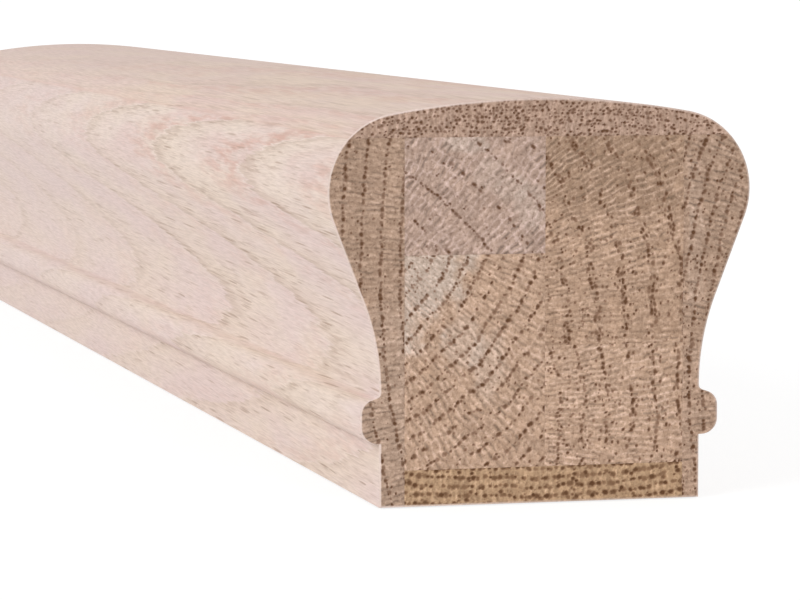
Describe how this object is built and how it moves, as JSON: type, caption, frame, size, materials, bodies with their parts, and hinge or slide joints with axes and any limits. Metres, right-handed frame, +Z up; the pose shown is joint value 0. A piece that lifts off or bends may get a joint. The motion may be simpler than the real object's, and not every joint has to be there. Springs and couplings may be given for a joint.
{
  "type": "wooden handrail",
  "caption": "Straight length of moulded oak handrail glued up from staves, with a crowned top, finger coves and side beads, sawn square at both ends.",
  "frame": {"origin": "centre of the flat underside", "axes": "+Z up through the crown, +Y along the rail away from the near sawn end, +X across it to the right as seen from the near end"},
  "size_m": [0.065, 0.4, 0.06],
  "materials": {
    "cap_oak": "planed and unfinished, open pores",
    "facing_oak": "planed and unfinished, open pores",
    "strip_oak": "planed and unfinished, open pores",
    "pale_core_oak": "sawn end grain, unfinished",
    "pink_core_oak": "sawn end grain, unfinished",
    "brown_core_oak": "sawn end grain, unfinished"
  },
  "bodies": {
    "root": {"top_cap": "cap_oak", "left_facing": "facing_oak", "right_facing": "facing_oak", "bottom_strip": "strip_oak", "core_upper_left": "pale_core_oak", "core_lower_left": "pink_core_oak", "core_upper_right": "brown_core_oak", "core_lower_right": "pink_core_oak"}
  },
  "joints": []
}
